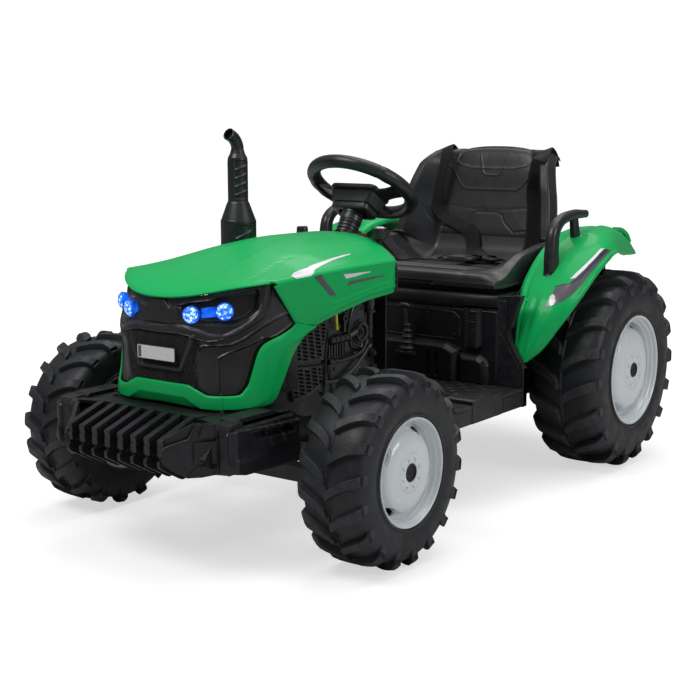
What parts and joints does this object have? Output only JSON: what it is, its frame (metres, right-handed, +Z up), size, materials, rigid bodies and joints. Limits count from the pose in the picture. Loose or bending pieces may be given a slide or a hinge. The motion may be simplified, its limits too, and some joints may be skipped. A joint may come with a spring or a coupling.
{
  "type": "kids electric ride-on tractor",
  "caption": "Kids electric ride-on farm tractor with steerable front wheels, turning drive wheels, bucket seat, lap harness, pedal and dash controls.",
  "frame": {"origin": "centre of the vehicle's footprint, on the ground under the tyres", "axes": "+Z up, -Y towards the nose, +Y towards the hitch, +X towards the vehicle's left side"},
  "size_m": [0.784, 1.343, 0.7024],
  "materials": {
    "green_gloss": "glossy moulded green plastic",
    "black_plastic": "satin black moulded plastic",
    "tyre_plastic": "matte charcoal blow-moulded tyre",
    "rim_plastic": "glossy white moulded plastic",
    "painted_steel": "black powder-coated steel",
    "zinc_steel": "zinc-plated steel",
    "seat_plastic": "dark grey moulded seat shell",
    "seat_leather": "dark grey grained synthetic leather",
    "webbing": "black woven webbing",
    "headlight_lens": "clear lens lit blue",
    "plate_plastic": "plain pale plate",
    "motor_can": "plated motor can",
    "battery_case": "dark grey battery case"
  },
  "bodies": {
    "chassis": {"chassis_frame": "painted_steel", "front_axle_beam": "painted_steel", "gearbox_left": "black_plastic", "gearbox_right": "black_plastic", "motor_left": "motor_can", "motor_right": "motor_can", "rear_axle": "zinc_steel", "floor_pan": "black_plastic", "seat_box": "black_plastic", "knee_panel": "black_plastic", "wheel_arch_left": "black_plastic", "wheel_arch_right": "black_plastic", "rear_panel": "black_plastic", "rear_hitch": "painted_steel", "battery": "battery_case", "control_box": "black_plastic", "bonnet": "green_gloss", "nose_mask": "black_plastic", "nose_trim": "green_gloss", "grille_mesh": "black_plastic", "number_plate": "plate_plastic", "headlight_left": "headlight_lens", "headlight_right": "headlight_lens", "front_bumper": "black_plastic", "guard_grille": "black_plastic", "engine_panel_left": "black_plastic", "engine_panel_right": "black_plastic", "dashboard": "black_plastic", "column_tube": "black_plastic", "exhaust_stack": "black_plastic", "seat_shell": "seat_plastic", "seat_pad": "seat_leather", "back_pad": "seat_leather", "harness_strap_left": "webbing", "harness_strap_right": "webbing", "lap_belt": "webbing", "harness_buckle": "black_plastic", "fender_left": "green_gloss", "fender_right": "green_gloss", "grab_handle_left": "black_plastic", "grab_handle_right": "black_plastic"},
    "knuckle_left": {"knuckle_left": "zinc_steel"},
    "knuckle_right": {"knuckle_right": "zinc_steel"},
    "tie_rod": {"tie_rod": "zinc_steel"},
    "steering": {"steering_shaft": "zinc_steel", "steering_wheel": "black_plastic"},
    "horn": {"horn_button": "black_plastic"},
    "front_wheel_left": {"front_tyre_left": "tyre_plastic", "front_rim_left": "rim_plastic"},
    "front_wheel_right": {"front_tyre_right": "tyre_plastic", "front_rim_right": "rim_plastic"},
    "rear_wheel_left": {"rear_tyre_left": "tyre_plastic", "rear_rim_left": "rim_plastic"},
    "rear_wheel_right": {"rear_tyre_right": "tyre_plastic", "rear_rim_right": "rim_plastic"},
    "pedal": {"accelerator_pedal": "black_plastic"},
    "lever": {"shift_lever": "black_plastic"},
    "knob": {"mode_knob": "black_plastic"},
    "power_rocker": {"power_switch": "black_plastic"},
    "speed_rocker": {"speed_switch": "black_plastic"}
  },
  "joints": [
    {"name": "steer_left", "type": "hinge", "parent": "chassis", "child": "knuckle_left", "pos_m": [0.215, -0.38, 0.16], "axis": [0, 0, 1], "range_deg": [-13, 13]},
    {"name": "steer_right", "type": "hinge", "parent": "chassis", "child": "knuckle_right", "pos_m": [-0.215, -0.38, 0.16], "axis": [0, 0, 1], "range_deg": [-13.2, 13.2]},
    {"name": "tie_rod_pivot", "type": "hinge", "parent": "knuckle_left", "child": "tie_rod", "pos_m": [0.215, -0.2227, 0.1273], "axis": [0, 0, 1], "range_deg": [-13.2, 13.2]},
    {"name": "steering_turn", "type": "hinge", "parent": "chassis", "child": "steering", "pos_m": [0, 0.0072, 0.588], "axis": [0, 0.5318, 0.8468], "range_deg": [-44, 44]},
    {"name": "horn_press", "type": "slide", "parent": "steering", "child": "horn", "axis": [0, -0.5318, -0.8468], "range_m": [0, 0.0025], "stiffness_N_per_m": 400, "springref_m": -0.001},
    {"name": "front_left_spin", "type": "hinge", "parent": "knuckle_left", "child": "front_wheel_left", "pos_m": [0.32, -0.38, 0.1615], "axis": [1, 0, 0], "continuous": true},
    {"name": "front_right_spin", "type": "hinge", "parent": "knuckle_right", "child": "front_wheel_right", "pos_m": [-0.32, -0.38, 0.1615], "axis": [1, 0, 0], "continuous": true},
    {"name": "rear_left_spin", "type": "hinge", "parent": "chassis", "child": "rear_wheel_left", "pos_m": [0.31675, 0.438, 0.205], "axis": [1, 0, 0], "continuous": true},
    {"name": "rear_right_spin", "type": "hinge", "parent": "chassis", "child": "rear_wheel_right", "pos_m": [-0.31675, 0.438, 0.205], "axis": [1, 0, 0], "continuous": true},
    {"name": "pedal_press", "type": "hinge", "parent": "chassis", "child": "pedal", "pos_m": [-0.119, -0.118, 0.208], "axis": [1, 0, 0], "range_deg": [-12, 0], "stiffness_Nm_per_rad": 0.6, "springref_deg": 5.73},
    {"name": "lever_shift", "type": "hinge", "parent": "chassis", "child": "lever", "pos_m": [0.11, -0.092, 0.452], "axis": [1, 0, 0], "range_deg": [-12, 0]},
    {"name": "knob_turn", "type": "hinge", "parent": "chassis", "child": "knob", "pos_m": [-0.085, -0.074, 0.5], "axis": [0, 0, 1], "range_deg": [-60, 60]},
    {"name": "power_rock", "type": "hinge", "parent": "chassis", "child": "power_rocker", "pos_m": [0.045, -0.0577, 0.497], "axis": [1, 0, 0], "range_deg": [0, 10]},
    {"name": "speed_rock", "type": "hinge", "parent": "chassis", "child": "speed_rocker", "pos_m": [-0.045, -0.0577, 0.497], "axis": [1, 0, 0], "range_deg": [0, 10]}
  ],
  "couplings": [
    {"joint": "steer_right", "follows": "steer_left", "ratio": 1},
    {"joint": "tie_rod_pivot", "follows": "steer_left", "ratio": -1},
    {"joint": "steering_turn", "follows": "steer_left", "ratio": 3.36}
  ]
}
